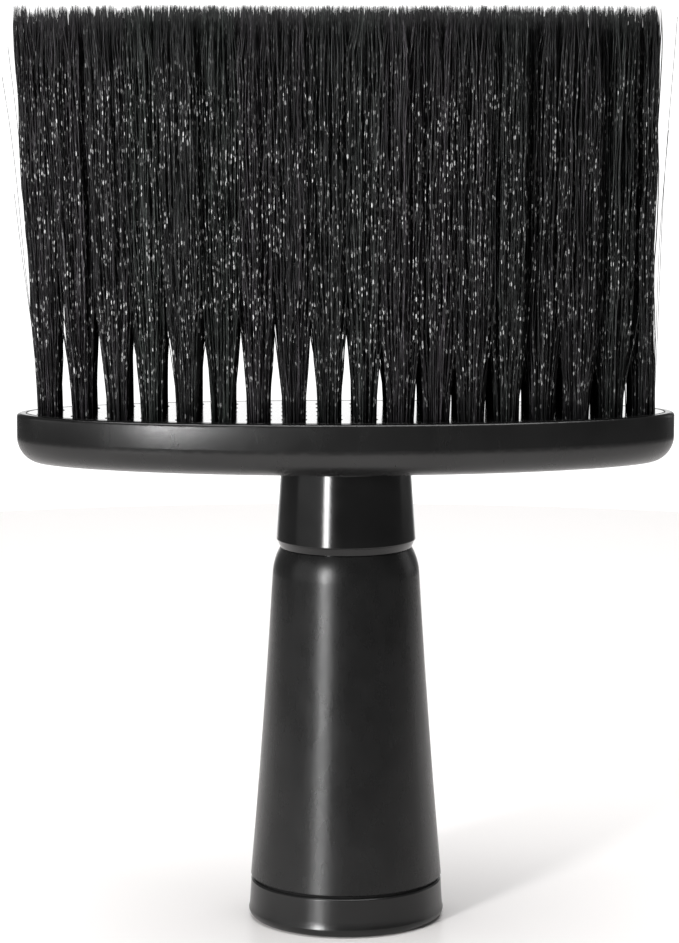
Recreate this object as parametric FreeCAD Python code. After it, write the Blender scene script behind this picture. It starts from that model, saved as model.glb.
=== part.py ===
"""Barber's neck duster brush that stands upright on the foot of its handle.

An oval tray carries a drilled plate, and bundles of soft fibre are stapled into the plate's holes. Under the
tray a glossy collar covers the joint to a hollow handle that flares down to its foot. One screw, reached through
the hollow handle, pulls the tray, the collar and the handle together. A threaded cap with a flat sealing ring
closes the foot, and unscrews downwards.

Frame: origin at the centre of the foot, on the surface that the brush stands on. +Z is up, along the handle,
+X is along the oval head, and +Y is towards its back. Millimetres.
"""

import FreeCAD
import Part

import math
import os

# ---- Driving dimensions -------------------------------------------------------------------------------------

HEAD_LENGTH = 120.4  # the tray, along X
HEAD_DEPTH = 39.0  # the tray, along Y
RIM_Z = 94.3  # top of the tray's rim
HEAD_BOTTOM_Z = 84.5  # lowest point of the tray's slightly domed underside
HEAD_CROWN = 0.5  # how far the underside rises towards the two ends
HEAD_EDGE_FILLET = 5.0  # rounded lower edge of the tray
RIM_OUTER_FILLET = 0.7
RIM_INNER_FILLET = 0.2
RIM_WALL = 1.7
TRAY_FLOOR_Z = 87.2  # inside of the tray's floor
TRAY_CORNER = 1.6  # chamfer in the tray's inner corner, and on the plate that sits in it

PLATE_GAP = 0.15  # round the drilled plate, inside the rim
PLATE_TOP_Z = 94.3
PLATE_EDGE_FILLET = 0.2

COLUMNS = 18  # of bundles, along X
COLUMN_PITCH = 6.35
ROWS = 5  # of bundles, along Y, in the widest columns
ROW_PITCH = 6.0
HOLE_RADIUS = 2.35
HOLE_FLOOR_Z = 88.4
HOLE_MARGIN = 0.3  # least plate left outside a hole

BRISTLE_TIP_Z = 168.2
TUFT_BASE_RADIUS = 2.15
TUFT_TIP_RADIUS = 3.1
LEAN_LEFT = 0.05  # how much further out than its hole a bundle's tip stands, left of the middle
LEAN_RIGHT = 0.02
LEAN_DEPTH = 0.04

ANCHOR_LENGTH = 4.2  # flat wire staple that holds a bundle in its hole
ANCHOR_THICKNESS = 0.4
ANCHOR_HEIGHT = 1.6

COLLAR_TOP_RADIUS = 11.92
COLLAR_BOTTOM_RADIUS = 12.78
COLLAR_LIP_Z = 70.8  # where the collar's lower edge turns inwards
COLLAR_LIP_RADIUS = 12.1  # of the collar's foot, below that edge
COLLAR_BORE_RADIUS = 10.25
COLLAR_SEAT_RADIUS = 11.1  # of the flat ring that bears on the handle
COLLAR_SEAM = 0.18  # open groove outside that ring
BEAD_HEIGHT = 0.6  # bead round the collar's top edge
BEAD_STAND = 0.2

HANDLE_TOP_Z = 69.3
HANDLE_TOP_RADIUS = 12.1
SHOULDER_Z = 64.6  # where the rounded shoulder ends and the concave side begins
SHOULDER_RADIUS = 13.5
SHOULDER_SLOPE = math.radians(3.4)  # of the side there, from upright
HANDLE_FOOT_Z = 7.75
HANDLE_FOOT_RADIUS = 17.7
FOOT_EDGE_CHAMFER = 0.2
HANDLE_WALL = 1.9
WEB_BOTTOM_Z = 62.0
WEB_TOP_Z = 65.0
SPIGOT_RADIUS = 10.1  # of the handle and of the tray, inside the collar
SPIGOT_BORE_RADIUS = 8.3
SPIGOT_TOP_Z = 74.0
TRAY_SPIGOT_Z = 80.0

CAP_TOP_RADIUS = 17.65
CAP_FLARE_Z = 2.9  # where the cap's tapered wall starts to flare
CAP_FLARE_RADIUS = 17.88
CAP_FOOT_RADIUS = 18.1
CAP_FOOT_FILLET = 1.5
CAP_SHOULDER_Z = 7.3
CAP_SHOULDER_CHAMFER = 0.3
CAP_SPIGOT_RADIUS = 13.4
CAP_SPIGOT_TOP_Z = 17.2
CAP_SPIGOT_BORE_RADIUS = 11.9
CAP_FLOOR_Z = 2.6
CAP_RECESS_RADIUS = 12.6
CAP_RECESS_DEPTH = 0.7

THREAD_PITCH = 3.0
THREAD_TURNS = 1.75
THREAD_BASE_WIDTH = 1.3
THREAD_CREST_WIDTH = 0.7
THREAD_ROOT_EMBED = 0.3  # how deep a ridge is sunk in its wall
CAP_THREAD_CREST_RADIUS = 14.5
CAP_THREAD_START_Z = 10.5
HANDLE_BORE_RADIUS = 14.8
HANDLE_THREAD_CREST_RADIUS = 13.75
HANDLE_THREAD_START_Z = 9.0
HANDLE_BORE_TOP_Z = 18.5
HANDLE_CONE_START_Z = 20.5

GASKET_RADIUS = 17.2
GASKET_BORE_RADIUS = 14.95

SCREW_SHANK_RADIUS = 1.95
SCREW_HEAD_RADIUS = 3.8
SCREW_HEAD_HEIGHT = 2.4
SCREW_TIP_Z = 78.0
SCREW_POINT_HEIGHT = 2.0
WASHER_RADIUS = 4.6
WASHER_THICKNESS = 0.8
SCREW_CLEARANCE = 0.25  # round the shank, in the web and the washer
PILOT_RADIUS = 2.0
PILOT_TOP_Z = 79.5
BOSS_RADIUS = 5.0
RIB_THICKNESS = 1.4
RECESS_WIDTH = 0.9  # of the cross slot in the screw's head
RECESS_LENGTH = 4.2
RECESS_DEPTH = 1.3

# ---- Worked out from them -----------------------------------------------------------------------------------

HALF_LENGTH = HEAD_LENGTH / 2.0
HALF_DEPTH = HEAD_DEPTH / 2.0
TUFT_BASE_Z = HOLE_FLOOR_Z + ANCHOR_HEIGHT + 0.05
WASHER_BOTTOM_Z = WEB_BOTTOM_Z - WASHER_THICKNESS

UP = FreeCAD.Vector(0, 0, 1)


def at(x, y, z):
    return FreeCAD.Vector(x, y, z)


def line(a, b):
    return Part.LineSegment(a, b).toShape()


def arc(a, through, b):
    return Part.Arc(a, through, b).toShape()


def cylinder(radius, low_z, high_z, x=0.0, y=0.0):
    return Part.makeCylinder(radius, high_z - low_z, at(x, y, low_z), UP)


def revolved(points):
    """A solid turned round Z from a closed outline. A point is (radius, z), or (radius, z, "arc") where the
    outline passes through it on an arc from the point before to the point after."""
    corners = [at(p[0], 0, p[1]) for p in points]
    through = [len(p) == 3 for p in points]
    edges = []
    count = len(points)
    i = 0
    while i < count:
        nxt = (i + 1) % count
        if through[nxt]:
            end = (i + 2) % count
            edges.append(arc(corners[i], corners[nxt], corners[end]))
            i += 2
        else:
            edges.append(line(corners[i], corners[nxt]))
            i += 1
    face = Part.Face(Part.Wire(edges))
    return face.revolve(at(0, 0, 0), UP, 360)


def arc_middle(start, end, ahead):
    """The middle of the arc that leaves start in the direction ahead and ends at end, each as (radius, z)."""
    across, up = end[0] - start[0], end[1] - start[1]
    turn = math.atan2(across * ahead[1] - up * ahead[0], across * ahead[0] + up * ahead[1])
    bulge = math.tan(turn / 2) / 2
    return (start[0] + across / 2 - up * bulge, start[1] + up / 2 + across * bulge)


# ---- The oval ------------------------------------------------------------------------------------------------


def oval_wire(inset, z):
    """The head's elliptical outline, with both half axes shortened by inset, as four quarters."""
    ellipse = Part.Ellipse(at(0, 0, z), HALF_LENGTH - inset, HALF_DEPTH - inset)
    quarter = math.pi / 2
    return Part.Wire(
        [Part.ArcOfEllipse(ellipse, i * quarter, (i + 1) * quarter).toShape() for i in range(4)]
    )


def oval_prism(inset, low_z, high_z):
    return Part.Face(oval_wire(inset, low_z)).extrude(at(0, 0, high_z - low_z))


def chamfered_prism(inset, low_z, high_z):
    """An oval prism whose lower edge is chamfered, as the tray's hollow is."""
    prism = oval_prism(inset, low_z, high_z)
    return prism.makeChamfer(TRAY_CORNER, [e for e in prism.Edges if e.BoundBox.ZMax < low_z + 0.01])


def clearance(x, y, inset):
    """How far a point inside the oval is from the outline at that inset."""
    steps = 720
    turns = [2 * math.pi * i / steps for i in range(steps)]
    half_x, half_y = HALF_LENGTH - inset, HALF_DEPTH - inset
    return min(math.hypot(half_x * math.cos(t) - x, half_y * math.sin(t) - y) for t in turns)


def fits(x, y, inset):
    """Whether a hole there lies inside the plate with enough left round it."""
    inside = (x / (HALF_LENGTH - inset)) ** 2 + (y / (HALF_DEPTH - inset)) ** 2 < 1
    return inside and clearance(x, y, inset) >= HOLE_RADIUS + HOLE_MARGIN


def tuft_grid():
    """One list per column, from -X to +X, of the (x, y) of its holes, from front to back. A column has as many
    holes as the oval leaves room for."""
    inset = RIM_WALL + PLATE_GAP
    columns = []
    for i in range(COLUMNS):
        x = (i - (COLUMNS - 1) / 2.0) * COLUMN_PITCH
        count = ROWS
        while not fits(x, (count - 1) / 2.0 * ROW_PITCH, inset):
            count -= 1
        columns.append([(x, (j - (count - 1) / 2.0) * ROW_PITCH) for j in range(count)])
    return columns


# ---- The head ------------------------------------------------------------------------------------------------


def head_shell():
    """Oval tray with a domed underside, a spigot that centres the collar, and a ribbed boss for the screw."""
    reach = HALF_LENGTH + 5.0
    reach_z = HEAD_BOTTOM_Z + HEAD_CROWN * (reach / HALF_LENGTH) ** 2
    low_left, low_right = at(-reach, -HEAD_DEPTH, reach_z), at(reach, -HEAD_DEPTH, reach_z)
    top_right, top_left = at(reach, -HEAD_DEPTH, RIM_Z), at(-reach, -HEAD_DEPTH, RIM_Z)
    dome_outline = Part.Wire(
        [
            arc(low_left, at(0, -HEAD_DEPTH, HEAD_BOTTOM_Z), low_right),
            line(low_right, top_right),
            line(top_right, top_left),
            line(top_left, low_left),
        ]
    )
    domed_block = Part.Face(dome_outline).extrude(at(0, 2 * HEAD_DEPTH, 0))
    body = oval_prism(0.0, HEAD_BOTTOM_Z - 1.0, RIM_Z).common(domed_block)
    lower_edges = [e for e in body.Edges if e.BoundBox.ZMax < RIM_Z - 4.0]
    body = body.makeFillet(HEAD_EDGE_FILLET, lower_edges)
    outer_edges = [e for e in body.Edges if e.BoundBox.ZMin > RIM_Z - 0.01]
    body = body.makeFillet(RIM_OUTER_FILLET, outer_edges)
    body = body.cut(chamfered_prism(RIM_WALL, TRAY_FLOOR_Z, RIM_Z + 1.0))
    hollow_reach = HALF_LENGTH - RIM_WALL + 0.01
    inner_edges = [
        e
        for e in body.Edges
        if e.BoundBox.ZMin > RIM_Z - 0.01 and max(e.BoundBox.XMax, -e.BoundBox.XMin) < hollow_reach
    ]
    body = body.makeFillet(RIM_INNER_FILLET, inner_edges)
    root_z = HEAD_BOTTOM_Z + 1.0
    spigot = cylinder(SPIGOT_RADIUS, TRAY_SPIGOT_Z, root_z)
    spigot = spigot.cut(cylinder(SPIGOT_BORE_RADIUS, TRAY_SPIGOT_Z - 1.0, root_z + 1.0))
    boss = cylinder(BOSS_RADIUS, WEB_TOP_Z, root_z)
    rib_length = 2 * SPIGOT_BORE_RADIUS + 1.0
    ribs = [
        Part.makeBox(
            rib_length, RIB_THICKNESS, root_z - TRAY_SPIGOT_Z,
            at(-rib_length / 2, -RIB_THICKNESS / 2, TRAY_SPIGOT_Z),
        ),
        Part.makeBox(
            RIB_THICKNESS, rib_length, root_z - TRAY_SPIGOT_Z,
            at(-RIB_THICKNESS / 2, -rib_length / 2, TRAY_SPIGOT_Z),
        ),
    ]
    body = body.fuse([spigot, boss] + ribs).removeSplitter()
    return body.cut(cylinder(PILOT_RADIUS, WEB_TOP_Z - 1.0, PILOT_TOP_Z))


def bristle_plate(columns):
    """Drilled plate that lies in the tray and holds every bundle in a blind hole."""
    plate = chamfered_prism(RIM_WALL + PLATE_GAP, TRAY_FLOOR_Z, PLATE_TOP_Z)
    top_edges = [e for e in plate.Edges if e.BoundBox.ZMin > PLATE_TOP_Z - 0.01]
    plate = plate.makeFillet(PLATE_EDGE_FILLET, top_edges)
    holes = [
        cylinder(HOLE_RADIUS, HOLE_FLOOR_Z, PLATE_TOP_Z + 1.0, x, y)
        for column in columns
        for x, y in column
    ]
    return plate.cut(Part.makeCompound(holes))


def tuft(x, y):
    """One bundle of fibres as a plain slender cone, leaning outwards a little."""
    base = Part.Wire(Part.makeCircle(TUFT_BASE_RADIUS, at(x, y, TUFT_BASE_Z), UP))
    lean = LEAN_LEFT if x < 0 else LEAN_RIGHT
    tip_centre = at(x * (1 + lean), y * (1 + LEAN_DEPTH), BRISTLE_TIP_Z)
    tip = Part.Wire(Part.makeCircle(TUFT_TIP_RADIUS, tip_centre, UP))
    return Part.makeLoft([base, tip], True, True)


def anchor(x, y):
    """Flat wire staple at the bottom of a hole, across the fold of the bundle."""
    corner = at(x - ANCHOR_LENGTH / 2, y - ANCHOR_THICKNESS / 2, HOLE_FLOOR_Z)
    return Part.makeBox(ANCHOR_LENGTH, ANCHOR_THICKNESS, ANCHOR_HEIGHT, corner)


# ---- The collar and the handle --------------------------------------------------------------------------------


def neck_collar():
    """Glossy sleeve between the tray and the handle, with a bead at its top and an inward lower edge."""
    top = HEAD_BOTTOM_Z
    bead_low = top - BEAD_HEIGHT
    bead_radius = COLLAR_TOP_RADIUS + BEAD_STAND
    return revolved(
        [
            (COLLAR_BORE_RADIUS, top),
            (COLLAR_TOP_RADIUS, top),
            (bead_radius, (top + bead_low) / 2, "arc"),
            (COLLAR_TOP_RADIUS, bead_low),
            (COLLAR_BOTTOM_RADIUS, COLLAR_LIP_Z + 0.2),
            (COLLAR_BOTTOM_RADIUS - 0.06, COLLAR_LIP_Z, "arc"),
            (COLLAR_BOTTOM_RADIUS - 0.2, COLLAR_LIP_Z - 0.1),
            (COLLAR_LIP_RADIUS, HANDLE_TOP_Z + COLLAR_SEAM),
            (COLLAR_SEAT_RADIUS, HANDLE_TOP_Z + COLLAR_SEAM),
            (COLLAR_SEAT_RADIUS, HANDLE_TOP_Z),
            (COLLAR_BORE_RADIUS, HANDLE_TOP_Z),
        ]
    )


def thread_ridge(start_z, wall_radius, crest_radius):
    """Right-handed helical ridge on a wall, towards the crest radius."""
    inward = 1.0 if crest_radius > wall_radius else -1.0
    root = wall_radius - inward * THREAD_ROOT_EMBED
    helix = Part.makeHelix(THREAD_PITCH, THREAD_PITCH * THREAD_TURNS, root)
    helix.translate(at(0, 0, start_z))
    base, crest = THREAD_BASE_WIDTH / 2, THREAD_CREST_WIDTH / 2
    section = Part.makePolygon(
        [
            at(root, 0, start_z - base),
            at(crest_radius, 0, start_z - crest),
            at(crest_radius, 0, start_z + crest),
            at(root, 0, start_z + base),
            at(root, 0, start_z - base),
        ]
    )
    return Part.Wire(helix.Edges).makePipeShell([section], True, True)


def handle_shell():
    """Hollow handle: rounded shoulder, concave flare to the foot, a web for the screw, and a threaded mouth."""
    cone_low = HANDLE_FOOT_RADIUS - HANDLE_WALL - 1.7
    cone_high = SHOULDER_RADIUS - HANDLE_WALL
    foot = (HANDLE_FOOT_RADIUS, HANDLE_FOOT_Z + FOOT_EDGE_CHAMFER)
    shoulder = (SHOULDER_RADIUS, SHOULDER_Z)
    top = (HANDLE_TOP_RADIUS, HANDLE_TOP_Z)
    slope = (math.sin(SHOULDER_SLOPE), -math.cos(SHOULDER_SLOPE))
    body = revolved(
        [
            (HANDLE_BORE_RADIUS, HANDLE_FOOT_Z),
            (HANDLE_FOOT_RADIUS - FOOT_EDGE_CHAMFER, HANDLE_FOOT_Z),
            foot,
            (*arc_middle(shoulder, foot, slope), "arc"),
            shoulder,
            (*arc_middle(shoulder, top, (-slope[0], -slope[1])), "arc"),
            top,
            (SPIGOT_RADIUS, HANDLE_TOP_Z),
            (SPIGOT_RADIUS, SPIGOT_TOP_Z),
            (SPIGOT_BORE_RADIUS, SPIGOT_TOP_Z),
            (SPIGOT_BORE_RADIUS, WEB_TOP_Z),
            (SCREW_SHANK_RADIUS + SCREW_CLEARANCE, WEB_TOP_Z),
            (SCREW_SHANK_RADIUS + SCREW_CLEARANCE, WEB_BOTTOM_Z),
            (cone_high, WEB_BOTTOM_Z),
            (cone_low, HANDLE_CONE_START_Z),
            (HANDLE_BORE_RADIUS, HANDLE_BORE_TOP_Z),
        ]
    )
    ridge = thread_ridge(HANDLE_THREAD_START_Z, HANDLE_BORE_RADIUS, HANDLE_THREAD_CREST_RADIUS)
    return body.fuse(ridge)


# ---- The foot --------------------------------------------------------------------------------------------------


def base_cap():
    """Threaded cap that closes the hollow handle and is the foot that the brush stands on."""
    foot = CAP_FOOT_RADIUS
    fillet = CAP_FOOT_FILLET
    slant = fillet * (1 - math.sqrt(0.5))
    wall_top = (CAP_TOP_RADIUS, CAP_SHOULDER_Z - CAP_SHOULDER_CHAMFER)
    flare = (CAP_FLARE_RADIUS, CAP_FLARE_Z)
    down_wall = (flare[0] - wall_top[0], flare[1] - wall_top[1])
    body = revolved(
        [
            (0, CAP_RECESS_DEPTH),
            (CAP_RECESS_RADIUS - 0.4, CAP_RECESS_DEPTH),
            (CAP_RECESS_RADIUS, 0),
            (foot - fillet, 0),
            (foot - slant, slant, "arc"),
            (foot, fillet),
            (*arc_middle(flare, (foot, fillet), down_wall), "arc"),
            flare,
            wall_top,
            (CAP_TOP_RADIUS - CAP_SHOULDER_CHAMFER, CAP_SHOULDER_Z),
            (CAP_SPIGOT_RADIUS, CAP_SHOULDER_Z),
            (CAP_SPIGOT_RADIUS, CAP_SPIGOT_TOP_Z - 0.3),
            (CAP_SPIGOT_RADIUS - 0.3, CAP_SPIGOT_TOP_Z),
            (CAP_SPIGOT_BORE_RADIUS, CAP_SPIGOT_TOP_Z),
            (CAP_SPIGOT_BORE_RADIUS, CAP_FLOOR_Z),
            (0, CAP_FLOOR_Z),
        ]
    )
    ridge = thread_ridge(CAP_THREAD_START_Z, CAP_SPIGOT_RADIUS, CAP_THREAD_CREST_RADIUS)
    return body.fuse(ridge)


def cap_gasket():
    """Flat sealing ring between the cap's shoulder and the foot of the handle."""
    ring = cylinder(GASKET_RADIUS, CAP_SHOULDER_Z, HANDLE_FOOT_Z)
    return ring.cut(cylinder(GASKET_BORE_RADIUS, CAP_SHOULDER_Z - 1.0, HANDLE_FOOT_Z + 1.0))


# ---- The screw -------------------------------------------------------------------------------------------------


def centre_screw():
    """Pan-head screw, driven upwards through the web of the handle into the tray's boss."""
    head_low = WASHER_BOTTOM_Z - SCREW_HEAD_HEIGHT
    rounding = SCREW_HEAD_HEIGHT * 0.4
    slant = rounding * (1 - math.sqrt(0.5))
    head = revolved(
        [
            (0, head_low),
            (SCREW_HEAD_RADIUS - rounding, head_low),
            (SCREW_HEAD_RADIUS - slant, head_low + slant, "arc"),
            (SCREW_HEAD_RADIUS, head_low + rounding),
            (SCREW_HEAD_RADIUS, WASHER_BOTTOM_Z),
            (SCREW_SHANK_RADIUS, WASHER_BOTTOM_Z),
            (SCREW_SHANK_RADIUS, SCREW_TIP_Z - SCREW_POINT_HEIGHT),
            (0, SCREW_TIP_Z),
        ]
    )
    for turn in (0, 90):
        slot = Part.makeBox(
            RECESS_LENGTH, RECESS_WIDTH, RECESS_DEPTH,
            at(-RECESS_LENGTH / 2, -RECESS_WIDTH / 2, head_low),
        )
        slot.rotate(at(0, 0, 0), UP, turn)
        head = head.cut(slot)
    return head


def screw_washer():
    ring = cylinder(WASHER_RADIUS, WASHER_BOTTOM_Z, WEB_BOTTOM_Z)
    bore = SCREW_SHANK_RADIUS + SCREW_CLEARANCE
    return ring.cut(cylinder(bore, WASHER_BOTTOM_Z - 1.0, WEB_BOTTOM_Z + 1.0))


# ---- Write every node ------------------------------------------------------------------------------------------


def write(name, shape):
    for solid in shape.Solids:
        if not solid.isValid():
            raise ValueError(name + " is not a valid solid")
    shape.exportStep(os.path.join("parts", name + ".step"))
    print(name, len(shape.Solids), "solid(s),", round(shape.Volume, 1), "mm3")


def main():
    os.makedirs("parts", exist_ok=True)
    columns = tuft_grid()
    write("head_shell", head_shell())
    write("bristle_plate", bristle_plate(columns))
    for number, column in enumerate(columns, start=1):
        write(f"bristle_column_{number:02d}", Part.makeCompound([tuft(x, y) for x, y in column]))
    anchors = [anchor(x, y) for column in columns for x, y in column]
    write("anchor_staples", Part.makeCompound(anchors))
    write("neck_collar", neck_collar())
    write("handle_shell", handle_shell())
    write("centre_screw", centre_screw())
    write("screw_washer", screw_washer())
    write("cap_gasket", cap_gasket())
    write("base_cap", base_cap())


main()
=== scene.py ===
"""Looks of the neck duster brush: fibres, plastics, floor, light and camera around the fixed frame."""

import math

import bpy
import numpy as np
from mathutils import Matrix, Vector


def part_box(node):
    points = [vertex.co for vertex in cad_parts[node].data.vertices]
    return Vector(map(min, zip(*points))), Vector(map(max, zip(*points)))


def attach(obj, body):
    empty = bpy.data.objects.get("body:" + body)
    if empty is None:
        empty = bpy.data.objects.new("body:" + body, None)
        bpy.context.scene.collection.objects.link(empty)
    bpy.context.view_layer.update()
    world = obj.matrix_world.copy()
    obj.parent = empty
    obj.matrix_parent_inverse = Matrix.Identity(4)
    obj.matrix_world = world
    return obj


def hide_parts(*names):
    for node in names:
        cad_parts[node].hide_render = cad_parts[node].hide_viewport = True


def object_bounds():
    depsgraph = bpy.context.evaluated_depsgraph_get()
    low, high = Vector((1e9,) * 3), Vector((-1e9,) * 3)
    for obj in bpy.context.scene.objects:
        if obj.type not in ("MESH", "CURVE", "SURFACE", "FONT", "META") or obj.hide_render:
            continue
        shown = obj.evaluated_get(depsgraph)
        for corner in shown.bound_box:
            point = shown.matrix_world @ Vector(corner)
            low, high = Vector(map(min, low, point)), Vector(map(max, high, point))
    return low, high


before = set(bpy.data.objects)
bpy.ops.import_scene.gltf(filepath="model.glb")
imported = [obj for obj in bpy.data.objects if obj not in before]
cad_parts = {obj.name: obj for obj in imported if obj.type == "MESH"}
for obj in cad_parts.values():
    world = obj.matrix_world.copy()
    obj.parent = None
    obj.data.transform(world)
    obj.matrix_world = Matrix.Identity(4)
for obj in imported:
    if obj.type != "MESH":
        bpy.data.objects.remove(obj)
cad_low, cad_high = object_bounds()

MM = 0.001

# ---- Camera ----------------------------------------------------------------------------------

CAMERA_DISTANCE = 600 * MM  # from the brush's axis, level with the floor
CAMERA_HEIGHT = 166.6 * MM
CAMERA_SIDE = -1.2 * MM
CAMERA_TILT = math.radians(7.91)  # downwards
CAMERA_TURN = math.radians(1.0)  # the brush's left end is a little nearer
CAMERA_LENS = 126.0  # mm
CAMERA_SENSOR = 36.0  # mm, along the picture's long side
CAMERA_NEAREST = 10 * MM


def make_camera():
    camera = bpy.data.objects.new("camera", bpy.data.cameras.new("camera"))
    camera.data.lens = CAMERA_LENS
    camera.data.sensor_width = CAMERA_SENSOR
    camera.data.clip_start = CAMERA_NEAREST
    turned_x, turned_y = math.sin(CAMERA_TURN), math.cos(CAMERA_TURN)
    camera.location = (
        CAMERA_SIDE * turned_y - CAMERA_DISTANCE * turned_x,
        -CAMERA_SIDE * turned_x - CAMERA_DISTANCE * turned_y,
        CAMERA_HEIGHT,
    )
    camera.rotation_euler = (math.pi / 2 - CAMERA_TILT, 0, -CAMERA_TURN)
    bpy.context.scene.collection.objects.link(camera)
    bpy.context.scene.camera = camera


make_camera()

# ---- Node materials --------------------------------------------------------------------------

COLUMNS = sorted(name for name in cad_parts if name.startswith("bristle_column_"))
PLATE_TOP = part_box("bristle_plate")[1].z


class Nodes:
    """A material's node tree, with one short call for each kind of node."""

    def __init__(self, name):
        self.material = bpy.data.materials.new(name)
        self.material.use_nodes = True
        self.tree = self.material.node_tree
        self.shader = self.tree.nodes["Principled BSDF"]

    def add(self, kind, **settings):
        node = self.tree.nodes.new(kind)
        for key, value in settings.items():
            setattr(node, key, value)
        return node

    def link(self, output, target):
        self.tree.links.new(output, target)

    def feed(self, socket, value):
        """Sets a socket to a value, or links an output to it."""
        if isinstance(value, bpy.types.NodeSocket):
            self.link(value, socket)
        else:
            socket.default_value = value

    def place(self, scale):
        """Object coordinates, stretched by a scale for each axis."""
        coordinates = self.add("ShaderNodeTexCoord")
        mapping = self.add("ShaderNodeMapping")
        mapping.inputs["Scale"].default_value = scale
        self.link(coordinates.outputs["Object"], mapping.inputs["Vector"])
        return mapping.outputs["Vector"]

    def height(self):
        """Height above the floor, in metres."""
        parts = self.add("ShaderNodeSeparateXYZ")
        self.link(self.place((1, 1, 1)), parts.inputs["Vector"])
        return parts.outputs["Z"]

    def noise(self, size, detail=2.0, rough=0.5, stretch=(1, 1, 1)):
        """Noise whose features are about size metres across, times stretch along each axis."""
        noise = self.add("ShaderNodeTexNoise")
        noise.inputs["Scale"].default_value = 1.0
        noise.inputs["Detail"].default_value = detail
        noise.inputs["Roughness"].default_value = rough
        scale = [1.0 / (size * s) for s in stretch]
        self.link(self.place(scale), noise.inputs["Vector"])
        return noise.outputs["Fac"]

    def ramp(self, value, low, high, to_low=0.0, to_high=1.0):
        """Maps low..high to to_low..to_high smoothly."""
        node = self.add("ShaderNodeMapRange", interpolation_type="SMOOTHSTEP")
        self.feed(node.inputs["Value"], value)
        for key, number in zip(("From Min", "From Max", "To Min", "To Max"), (low, high, to_low, to_high)):
            node.inputs[key].default_value = number
        return node.outputs["Result"]

    def math(self, operation, a, b):
        node = self.add("ShaderNodeMath", operation=operation)
        self.feed(node.inputs[0], a)
        self.feed(node.inputs[1], b)
        return node.outputs["Value"]

    def blend(self, factor, a, b):
        node = self.add("ShaderNodeMix", data_type="RGBA")
        self.feed(node.inputs["Factor"], factor)
        self.feed(node.inputs[6], a)
        self.feed(node.inputs[7], b)
        return node.outputs[2]

    def bump(self, height, depth, before=None, invert=False):
        node = self.add("ShaderNodeBump", invert=invert)
        node.inputs["Strength"].default_value = 1.0
        node.inputs["Distance"].default_value = depth
        self.link(height, node.inputs["Height"])
        if before is not None:
            self.link(before, node.inputs["Normal"])
        return node.outputs["Normal"]


def grey(value):
    return (value, value, value, 1.0)


CLOUD_SIZE = 9 * MM
SMEAR_SIZE = 4 * MM
WORN_FADE = 0.3 * MM
WORN_ROUGHNESS = 0.35  # of what it is elsewhere
COARSE_GRAIN = 8  # times the fine grain's size
COARSE_DEPTH = 0.6  # of the fine grain's depth


def plastic(
    name, dark, light, rough, rough_spread, grain, grain_depth, ior_level,
    worn_z=None, crown=None, edge=None,
):
    """Moulded plastic: faint clouding of its colour and gloss, and a fine grain in its surface.
    Above worn_z it is rubbed smooth. crown, as (height, half width, depth), is a band that bulges
    slightly, and edge is the radius that sharp edges are softened to."""
    m = Nodes(name)
    cloud = m.noise(CLOUD_SIZE, detail=3.0, rough=0.6)
    m.link(m.blend(m.ramp(cloud, 0.3, 0.7), grey(dark), grey(light)), m.shader.inputs["Base Color"])
    smear = m.noise(SMEAR_SIZE, detail=4.0, rough=0.65, stretch=(1, 1, 2.5))
    roughness = m.ramp(smear, 0.25, 0.75, rough - rough_spread, rough + rough_spread)
    if worn_z is not None:
        worn = m.ramp(m.height(), worn_z, worn_z + WORN_FADE, 1.0, WORN_ROUGHNESS)
        roughness = m.math("MULTIPLY", roughness, worn)
    m.link(roughness, m.shader.inputs["Roughness"])
    fine = m.noise(grain, detail=2.0, rough=0.6)
    coarse = m.noise(COARSE_GRAIN * grain, detail=1.0)
    shape = None
    if edge is not None:
        bevel = m.add("ShaderNodeBevel", samples=8)
        bevel.inputs["Radius"].default_value = edge
        shape = bevel.outputs["Normal"]
    if crown is not None:
        middle, half, depth = crown
        offset = m.math("DIVIDE", m.math("SUBTRACT", m.height(), middle), half)
        shape = m.bump(m.math("MULTIPLY", offset, offset), depth, shape, invert=True)
    shape = m.bump(coarse, COARSE_DEPTH * grain_depth, shape)
    m.link(m.bump(fine, grain_depth, shape), m.shader.inputs["Normal"])
    m.shader.inputs["Specular IOR Level"].default_value = ior_level
    return m.material


FIBRE_DARKS = (0.0050, 0.0046, 0.0052, 1), (0.0040, 0.0050, 0.0048, 1)  # warm and cool tint
FIBRE_LIGHTS = (0.050, 0.045, 0.051, 1), (0.043, 0.050, 0.046, 1)
PATCH_SIZE, STREAK_SIZE, CLUMP_SIZE = 1.2 * MM, 0.30 * MM, 0.50 * MM
PAINTED_RIGHT_SHADE = 0.52  # painted shade: the right side's fibres are drawn this share as bright as the left side's
# Painted glints: small bright flecks painted into the fibres' base colour, standing in for highlights.
PAINTED_GLINT_CELL = 0.42 * MM, 0.42 * MM, 0.90 * MM  # at most one painted glint (painted highlight) in each
PAINTED_GLINT_PATCH_SIZE = 4 * MM
PAINTED_GLINT_GREY = 0.68
PAINTED_GLINTS_BELOW, PAINTED_GLINTS_ABOVE = 0.3, 0.12  # their strength at the plate and at the tips
PAINTED_GLINTS_RIGHT = 0.72


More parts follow.
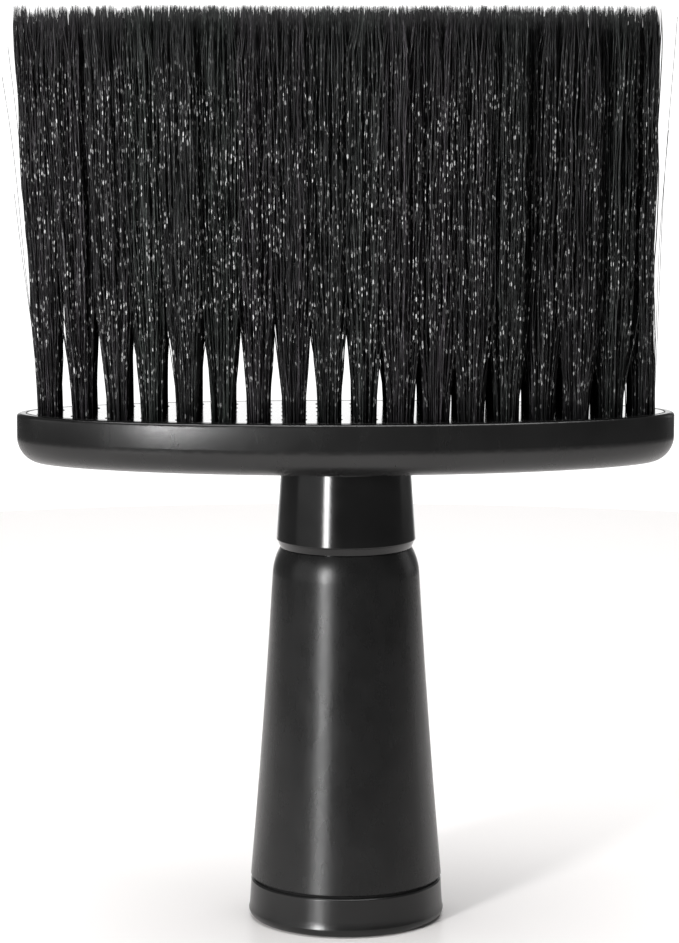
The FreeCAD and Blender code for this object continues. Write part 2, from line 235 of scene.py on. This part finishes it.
def fibre_material():
    """Black synthetic fibre: each strand its own random tone and tint, with painted shade between
    bundles and towards the right, and small bright painted glints that stand in for highlights."""
    m = Nodes("bristle_fibre")
    # strand holds each fibre's random tone times the painted crevice shade
    strand = m.add("ShaderNodeAttribute", attribute_name="strand").outputs["Fac"]
    tint = m.add("ShaderNodeAttribute", attribute_name="tint").outputs["Fac"]
    dark = m.blend(tint, *FIBRE_DARKS)
    light = m.blend(tint, *FIBRE_LIGHTS)
    patchy = m.ramp(m.noise(PATCH_SIZE, detail=2.0, stretch=(1, 1, 9)), 0.35, 0.65, 0.30, 1.2)
    streak = m.ramp(m.noise(STREAK_SIZE, detail=1.0, stretch=(1, 1, 9)), 0.56, 0.74)
    streak = m.math("MULTIPLY", streak, m.ramp(strand, 0.0, 0.25, 0.4, 1.0))
    clump = m.ramp(m.noise(CLUMP_SIZE, detail=1.0, stretch=(1, 1, 16)), 0.36, 0.66, 0.25, 1.75)
    shade = m.math("MULTIPLY", m.math("MULTIPLY", strand, clump), patchy)
    where = m.add("ShaderNodeSeparateXYZ")
    m.link(m.place((1, 1, 1)), where.inputs["Vector"])
    # painted shade: the fibres' colour is darker towards the right, away from the key light
    painted_side_shade = m.ramp(where.outputs["X"], 0.3 * cad_low.x, 0.7 * cad_high.x, 1.0, PAINTED_RIGHT_SHADE)
    base = m.blend(m.math("MULTIPLY", m.math("ADD", shade, streak), painted_side_shade), dark, light)
    # painted highlights: bright flecks painted into the base colour in small chosen cells, in patches and
    # in a band of height
    dots = m.add("ShaderNodeTexVoronoi", feature="F1")
    dots.inputs["Scale"].default_value = 1.0
    dots.inputs["Randomness"].default_value = 1.0
    m.link(m.place([1 / size for size in PAINTED_GLINT_CELL]), dots.inputs["Vector"])
    chance = m.add("ShaderNodeSeparateColor")
    m.link(dots.outputs["Color"], chance.inputs["Color"])
    chosen = m.ramp(chance.outputs["Red"], 0.66, 0.95)
    small = m.ramp(dots.outputs["Distance"], 0.32, 0.60, 1.0, 0.0)
    patch = m.ramp(m.noise(PAINTED_GLINT_PATCH_SIZE, detail=2.0, stretch=(1, 1, 2)), 0.32, 0.58)
    low, high = PLATE_TOP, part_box(COLUMNS[0])[1].z
    tall = high - low
    above = m.ramp(where.outputs["Z"], low + 0.02 * tall, low + 0.18 * tall, PAINTED_GLINTS_BELOW, 1.0)
    below = m.ramp(where.outputs["Z"], high - 0.27 * tall, high - 0.09 * tall, 1.0, PAINTED_GLINTS_ABOVE)
    sideways = m.ramp(painted_side_shade, 0.5, 1.0, PAINTED_GLINTS_RIGHT, 1.0)
    band = m.math("MULTIPLY", m.math("MULTIPLY", above, below), sideways)
    painted_glint = m.math("MULTIPLY", m.math("MULTIPLY", chosen, small), m.math("MULTIPLY", patch, band))
    m.link(m.blend(painted_glint, base, grey(PAINTED_GLINT_GREY)), m.shader.inputs["Base Color"])
    m.shader.inputs["Roughness"].default_value = 0.45
    m.shader.inputs["Specular IOR Level"].default_value = 0.22
    return m.material


MARK_SIZE = 0.25 * MM
MARK_DEPTH = 0.01 * MM


def metal(name, colour, rough, grain):
    """Bare metal with fine drawing marks, drawn out along each axis as grain says."""
    m = Nodes(name)
    marks = m.noise(MARK_SIZE, detail=3.0, stretch=grain)
    darker = tuple(0.8 * c for c in colour[:3]) + (1.0,)
    m.link(m.blend(marks, colour, darker), m.shader.inputs["Base Color"])
    m.link(m.ramp(marks, 0.3, 0.7, rough - 0.06, rough + 0.08), m.shader.inputs["Roughness"])
    m.link(m.bump(marks, MARK_DEPTH), m.shader.inputs["Normal"])
    m.shader.inputs["Metallic"].default_value = 1.0
    return m.material


RIM_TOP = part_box("head_shell")[1].z
FINE_GRAIN = 0.20 * MM
head_plastic = plastic(
    "head_plastic", 0.004, 0.007, 0.26, 0.02, FINE_GRAIN, 0.012 * MM, ior_level=0.50,
    worn_z=RIM_TOP - 0.35 * MM, crown=(RIM_TOP - 2.6 * MM, 2.2 * MM, 0.042 * MM),
)
plate_plastic = plastic(
    "plate_plastic", 0.003, 0.006, 0.12, 0.03, FINE_GRAIN, 0.004 * MM, ior_level=1.0
)
plate_plastic.node_tree.nodes["Principled BSDF"].inputs["Coat Weight"].default_value = 1.0
plate_plastic.node_tree.nodes["Principled BSDF"].inputs["Coat Roughness"].default_value = 0.1
collar_plastic = plastic(
    "collar_plastic", 0.003, 0.006, 0.15, 0.02, FINE_GRAIN, 0.006 * MM, ior_level=0.38
)
handle_plastic = plastic(
    "handle_plastic", 0.005, 0.008, 0.28, 0.04, FINE_GRAIN, 0.010 * MM, ior_level=0.30
)
cap_plastic = plastic(
    "cap_plastic", 0.005, 0.008, 0.24, 0.03, FINE_GRAIN, 0.010 * MM, ior_level=0.36, edge=0.22 * MM
)
gasket_rubber = plastic(
    "gasket_rubber", 0.001, 0.002, 0.75, 0.05, 0.5 * FINE_GRAIN, 0.010 * MM, ior_level=0.2
)
screw_steel = metal("screw_steel", (0.55, 0.55, 0.57, 1.0), 0.30, (1, 1, 6))
washer_steel = metal("washer_steel", (0.60, 0.60, 0.61, 1.0), 0.34, (6, 1, 1))
anchor_brass = metal("anchor_brass", (0.72, 0.52, 0.25, 1.0), 0.30, (6, 1, 1))
bristle_fibre = fibre_material()

CAD_FINISHES = {
    "head_shell": head_plastic,
    "bristle_plate": plate_plastic,
    "neck_collar": collar_plastic,
    "handle_shell": handle_plastic,
    "base_cap": cap_plastic,
    "cap_gasket": gasket_rubber,
    "centre_screw": screw_steel,
    "screw_washer": washer_steel,
    "anchor_staples": anchor_brass,
}


for node, material in CAD_FINISHES.items():
    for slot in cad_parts[node].material_slots:
        slot.material = material

# ---- Fibres ----------------------------------------------------------------------------------

FIRST_SEED = 1000  # for the first column's random draws
TWIST_SEED = 7
FIBRES_PER_BUNDLE = 165
RINGS = 18  # along a fibre
SIDES = 3  # of a fibre's cross-section
CELL = np.array([3.45, 3.15]) * MM  # half the room that a bundle opens into
CELL_SPREAD = 0.45 * MM  # how far fibres stray past that
OPENING_POWER = 1.7  # how suddenly a bundle opens
FIBRE_RADIUS = 0.125 * MM
THICKNESS_SPREAD = 0.7, 1.2
TAPER = 6 * MM  # the length of a fibre's pointed end
TIP_RADIUS = 0.012 * MM
SUNK = 1.5 * MM  # how far below the plate's top face the fibres are drawn
CLUMPS = 18  # tufts at the top of each bundle
CLUMP_PULL = 0.5
CLUMP_LENGTH = 9 * MM
TUFT_DROP = 0.4 * MM  # how far below the field's top the tufts end, on average
TUFT_SPREAD = 0.7 * MM
TIP_SPREAD = 0.8 * MM
RING_SPACING = 0.9  # below 1, the rings are closer together towards the tip
KINKS = (0.20 * MM, 18 * MM, 40 * MM), (0.06 * MM, 7 * MM, 13 * MM)  # size, shortest, longest
STRAIGHT_TO = 14 * MM  # kinks are whole above this height
SHADE_POWER = 1.8  # above 1, most strands are dark
PAINTED_CREVICE_SHADE = 0.85  # painted shade in the crevices between bundles: how much darker fibres are drawn at a bundle's sides, from CREVICE_FROM to CREVICE_TO of its cell
CREVICE_FROM, CREVICE_TO = 0.55, 1.05
TINT_SPREAD = 0.15

TIGHT = (17, 23), (1.95, 2.1)  # opening height and radius at the plate, in mm, in the left half
LOOSE = (11, 14), (2.2, 2.4)  # and in the right half
MIDDLE = len(COLUMNS) // 2
LAST = len(COLUMNS) - 1
SQUEEZE = {0: 0.85, LAST: 0.30}  # how much of its room an end column takes on its outer side
SLOW_OUTER_SIDE = 1.8  # the first column's outer side opens this many times higher up
STRAY_RADIUS = 0.055 * MM
STRAY_START = 2.0 * MM  # beside the bundle's middle, and up to as far in front of it or behind it
STRAY_WAVE = 0.15 * MM
STRAY_CURVE = 1.4
LEFT_STRAYS = (  # how far each ends from its start, and its share of the full height
    (-3.2 * MM, 0.93), (-4.6 * MM, 0.9), (-5.6 * MM, 0.83), (-2.6 * MM, 0.8), (-4.0 * MM, 0.55),
)
RIGHT_STRAYS = (3.2 * MM, 0.97), (2.2 * MM, 0.7)


END_SLICE = 0.1 * MM  # points this near to a column's end are on the cones' end rings
RING_GAP = 1.0 * MM  # a wider step than this in depth is the gap between two cones


def node_points(node):
    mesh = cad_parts[node].data
    places = np.zeros(len(mesh.vertices) * 3, np.float32)
    mesh.vertices.foreach_get("co", places)
    return places.reshape(-1, 3).astype(float)


def bundle_ends(node):
    """The centres of each bundle's foot and tip, front to back, from the CAD cones' end rings."""
    places = node_points(node)
    foot = places[places[:, 2] < places[:, 2].min() + END_SLICE]
    tip = places[places[:, 2] > places[:, 2].max() - END_SLICE]
    foot = foot[np.argsort(foot[:, 1])]
    gaps = np.where(np.diff(foot[:, 1]) > RING_GAP)[0] + 1
    feet = np.array([(ring.min(0) + ring.max(0)) / 2 for ring in np.split(foot, gaps)])
    tips = feet.copy()
    tips[:, 0] = (tip[:, 0].min() + tip[:, 0].max()) / 2
    reach = np.ptp(tip[:, 1]) / np.ptp(foot[:, 1])
    tips[:, 1] *= reach
    return list(zip(feet, tips))


def smooth(value, low, high):
    t = np.clip((value - low) / (high - low), 0, 1)
    return t * t * (3 - 2 * t)


def bundle_paths(rng, foot, tip, base_radius, opening, squeeze, slow, top_z):
    """Centre lines (fibres, rings, 3), radii (fibres, rings), shades and tints (fibres,) of one
    bundle's fibres. They leave the plate in a round of base_radius and open into their cell about
    opening above it, on the outer side slow times as high and into squeeze of the room."""
    count = FIBRES_PER_BUNDLE
    reach = np.sqrt(rng.random(count))[:, None]
    turn = rng.random(count) * 2 * math.pi
    way = np.stack([np.cos(turn), np.sin(turn)], 1)
    near = reach * way * base_radius
    far = reach * way / np.abs(way).max(1, keepdims=True) * CELL
    far = far + rng.normal(0, CELL_SPREAD, (count, 2))
    outward = far[:, 0] * foot[0] > 0
    far[:, 0] *= np.where(outward, squeeze, 1.0)
    lean = (tip - foot)[:2]
    clumps = rng.uniform(-1, 1, (CLUMPS, 2)) * CELL
    clumps[:, 0] *= np.where(clumps[:, 0] * foot[0] > 0, squeeze, 1.0)
    nearest = ((far[:, None] - clumps[None]) ** 2).sum(2).argmin(1)
    ends = top_z - TUFT_DROP + rng.normal(0, TUFT_SPREAD, CLUMPS)[nearest]
    ends = np.minimum(ends, top_z) - np.abs(rng.normal(0, TIP_SPREAD, count))
    start_z = PLATE_TOP - SUNK
    length = ends - start_z
    along = np.linspace(0, 1, RINGS)[None, :] ** RING_SPACING
    height = along * length[:, None]
    reach_height = opening * np.where(outward, slow, 1.0)[:, None]
    rise = np.clip(height - SUNK, 0, None) / reach_height
    opened = (1 - np.exp(-(rise**OPENING_POWER)))[:, :, None]
    flat = near[:, None, :] * (1 - opened) + far[:, None, :] * opened
    flat = flat + foot[None, None, :2] + lean[None, None, :] * along[:, :, None]
    for size, shortest, longest in KINKS:
        wave = rng.uniform(shortest, longest, (count, 1, 2))
        phase = rng.uniform(0, 2 * math.pi, (count, 1, 2))
        grow = smooth(height, SUNK, STRAIGHT_TO)[:, :, None]
        flat = flat + size * grow * np.sin(2 * math.pi * height[:, :, None] / wave + phase)
    pull = CLUMP_PULL * smooth(height, length[:, None] - CLUMP_LENGTH, length[:, None])[:, :, None]
    target = foot[None, :2] + lean[None, :] + clumps[nearest]
    flat = flat * (1 - pull) + target[:, None, :] * pull
    centres = np.concatenate([flat, (start_z + height)[:, :, None]], 2)
    full = 1 - smooth(height, length[:, None] - TAPER, length[:, None])
    radii = TIP_RADIUS + (FIBRE_RADIUS - TIP_RADIUS) * full
    radii = radii * rng.uniform(*THICKNESS_SPREAD, (count, 1))
    # painted shade: fibres at a bundle's sides, in the crevices between bundles, are drawn darker
    shaded_crevice = smooth(np.abs(far[:, 0]) / CELL[0], CREVICE_FROM, CREVICE_TO)
    shades = rng.random(count) ** SHADE_POWER * (1 - PAINTED_CREVICE_SHADE * shaded_crevice)
    tints = np.clip(rng.random() + rng.normal(0, TINT_SPREAD, count), 0, 1)
    return centres, radii, shades, tints


def stray_paths(rng, foot, strays, top_z):
    """A few very thin fibres that stand away from the field's edge, as bundle_paths gives them."""
    count = len(strays)
    away, rise = np.array(strays).T[:, :, None]
    along = np.linspace(0, 1, RINGS)[None, :]
    start_z = PLATE_TOP - SUNK
    height = along * (rise * (top_z - start_z))
    drift = away * along**STRAY_CURVE
    side = np.sign(away) * STRAY_START
    x = foot[0] + side + drift + STRAY_WAVE * np.sin(along * rng.uniform(6, 12, (count, 1)))
    y = np.repeat(foot[1] + rng.uniform(-1, 1, (count, 1)) * STRAY_START, RINGS, 1)
    centres = np.stack([x, y, start_z + height], 2)
    radii = np.full((count, RINGS), STRAY_RADIUS)
    return centres, radii, np.ones(count), np.full(count, 0.5)


def tube_mesh(name, centres, radii, shades, tints):
    """One mesh of closed thin tubes, with each strand's shade and tint."""
    fibres, rings = radii.shape
    angle = np.arange(SIDES) * 2 * math.pi / SIDES
    twist = np.random.default_rng(TWIST_SEED).random(fibres) * 2 * math.pi
    turned = angle[None, :] + twist[:, None]
    circle = np.stack([np.cos(turned), np.sin(turned), np.zeros_like(turned)], 2)
    points = centres[:, :, None, :] + circle[:, None, :, :] * radii[:, :, None, None]
    ring = np.arange(rings - 1)
    side = np.arange(SIDES)
    first = ring[:, None] * SIDES + side[None, :]
    second = ring[:, None] * SIDES + (side[None, :] + 1) % SIDES
    quads = np.stack([first, second, second + SIDES, first + SIDES], 2).reshape(-1, 4)
    foot_cap = side[::-1]
    tip_cap = (rings - 1) * SIDES + side
    start = np.arange(fibres) * rings * SIDES
    all_quads = (quads[None] + start[:, None, None]).reshape(-1)
    caps = np.concatenate([foot_cap, tip_cap])
    all_caps = (caps[None] + start[:, None]).reshape(-1)
    loops = np.concatenate([all_quads, all_caps])
    totals = np.concatenate([np.full(fibres * len(quads), 4), np.full(fibres * 2, SIDES)])
    mesh = bpy.data.meshes.new(name)
    mesh.vertices.add(fibres * rings * SIDES)
    mesh.vertices.foreach_set("co", points.reshape(-1))
    mesh.loops.add(len(loops))
    mesh.loops.foreach_set("vertex_index", loops)
    mesh.polygons.add(len(totals))
    mesh.polygons.foreach_set("loop_start", np.concatenate([[0], np.cumsum(totals)[:-1]]))
    mesh.polygons.foreach_set("loop_total", totals)
    mesh.update(calc_edges=True)
    mesh.shade_smooth()
    # strand carries each fibre's random tone with its painted crevice shade
    for name_, values in (("strand", shades), ("tint", tints)):
        attribute = mesh.attributes.new(name_, "FLOAT", "POINT")
        attribute.data.foreach_set("value", np.repeat(values, rings * SIDES))
    return mesh


def bristle_column(index, node):
    """All the fibres of one column of bundles, in place of its CAD cones."""
    rng = np.random.default_rng(FIRST_SEED + index)
    top_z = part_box(node)[1].z
    ends = bundle_ends(node)
    openings, base_radii = TIGHT if index <= MIDDLE else LOOSE
    opening = rng.uniform(*openings) * MM
    squeeze = SQUEEZE.get(index, 1.0)
    slow = SLOW_OUTER_SIDE if index == 0 else 1.0
    parts = []
    for foot, tip in ends:
        base_radius = rng.uniform(*base_radii) * MM
        parts.append(bundle_paths(rng, foot, tip, base_radius, opening, squeeze, slow, top_z))
    strays = {0: LEFT_STRAYS, LAST: RIGHT_STRAYS}.get(index)
    if strays:
        parts.append(stray_paths(rng, ends[0][0], strays, top_z))
    centres, radii, shades, tints = (np.concatenate(arrays) for arrays in zip(*parts))
    name = node.replace("bristle_column", "bristles")
    piece = bpy.data.objects.new(name, tube_mesh(name, centres, radii, shades, tints))
    bpy.context.scene.collection.objects.link(piece)
    piece.data.materials.append(bristle_fibre)
    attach(piece, "handle")
    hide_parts(node)


for index, node in enumerate(COLUMNS):
    bristle_column(index, node)

# ---- Floor and light -------------------------------------------------------------------------

FLOOR_RADIUS = 0.36
FLOOR_BACK = 0.16  # how far behind the brush the floor's middle is
FLOOR_CLOUDS = 0.5
FLOOR_SHADES = (0.93, 0.905, 0.895, 1), (0.95, 0.925, 0.915, 1)

STANDING_LIGHTS = (
    # name, azimuth in degrees, distance, width and height in metres, radiance
    ("key", -34, 0.95, 0.135, 0.45, 57.0),
    ("tray", -26.5, 0.95, 0.07, 0.45, 76.0),
    ("left", -68, 1.2, 1.1, 0.7, 0.8),
    ("right", 120, 1.2, 0.5, 0.7, 0.6),
)
HEAD_LINKS = {"key": "EXCLUDE", "tray": "INCLUDE"}  # all but the tray, and only the tray
LIGHT_LIFT = 0.01  # between the floor and a standing light
TOP_HEIGHT, TOP_WIDTH, TOP_RADIANCE = 1.3, 1.1, 5.2

WORLD_FRONT, WORLD_BACK = 0.16, 1.3  # its strength as a light
BACK_FROM, BACK_TO = 0.88, 0.99  # the part of the world's depth where the one turns into the other


def make_floor():
    m = Nodes("floor")
    m.link(m.blend(m.noise(FLOOR_CLOUDS, detail=2.0), *FLOOR_SHADES), m.shader.inputs["Base Color"])
    m.shader.inputs["Roughness"].default_value = 0.35
    m.shader.inputs["Specular IOR Level"].default_value = 0.3
    bpy.ops.mesh.primitive_circle_add(
        vertices=96, radius=FLOOR_RADIUS, fill_type="NGON", location=(0, FLOOR_BACK, 0)
    )
    floor = bpy.context.object
    floor.name = "floor"
    floor.data.materials.append(m.material)


def soft_box(name, width, height, radiance):
    """A rectangular light that the camera doesn't see."""
    light = bpy.data.lights.new(name, "AREA")
    light.shape = "RECTANGLE"
    light.size = width
    light.size_y = height
    light.energy = radiance * math.pi * width * height
    lamp = bpy.data.objects.new(name, light)
    lamp.visible_camera = False
    bpy.context.scene.collection.objects.link(lamp)
    return lamp


def standing_light(name, azimuth, distance, width, height, radiance):
    """A soft box that stands on the floor and faces the brush. Azimuth 0 is in front, and it turns
    towards +X."""
    lamp = soft_box(name, width, height, radiance)
    turn = math.radians(azimuth)
    way = Vector((math.sin(turn), -math.cos(turn), 0))
    lamp.location = way * distance + Vector((0, 0, height / 2 + LIGHT_LIFT))
    lamp.rotation_euler = way.to_track_quat("Z", "Y").to_euler()
    if name in HEAD_LINKS:
        lit = bpy.data.collections.new(name + "_receivers")
        lit.objects.link(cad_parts["head_shell"])
        lit.collection_objects[0].light_linking.link_state = HEAD_LINKS[name]
        lamp.light_linking.receiver_collection = lit


def make_world():
    """A white backdrop as the camera sees it; as a light, paler behind the brush than in front."""
    world = bpy.data.worlds.new("studio")
    world.use_nodes = True
    tree = world.node_tree
    direction = tree.nodes.new("ShaderNodeTexCoord")
    parts = tree.nodes.new("ShaderNodeSeparateXYZ")
    depth = tree.nodes.new("ShaderNodeMapRange")
    seen = tree.nodes.new("ShaderNodeLightPath")
    either = tree.nodes.new("ShaderNodeMath")
    either.operation = "MAXIMUM"
    depth.inputs["From Min"].default_value = BACK_FROM
    depth.inputs["From Max"].default_value = BACK_TO
    depth.inputs["To Min"].default_value = WORLD_FRONT
    depth.inputs["To Max"].default_value = WORLD_BACK
    tree.links.new(direction.outputs["Generated"], parts.inputs["Vector"])
    tree.links.new(parts.outputs["Y"], depth.inputs["Value"])
    tree.links.new(depth.outputs["Result"], either.inputs[0])
    tree.links.new(seen.outputs["Is Camera Ray"], either.inputs[1])
    tree.links.new(either.outputs["Value"], tree.nodes["Background"].inputs["Strength"])
    tree.nodes["Background"].inputs["Color"].default_value = (1.0, 1.0, 1.0, 1.0)
    bpy.context.scene.world = world


make_floor()
make_world()
for row in STANDING_LIGHTS:
    standing_light(*row)
soft_box("top", TOP_WIDTH, TOP_WIDTH, TOP_RADIANCE).location = (0, 0, TOP_HEIGHT)
bpy.context.scene.view_settings.view_transform = "Standard"
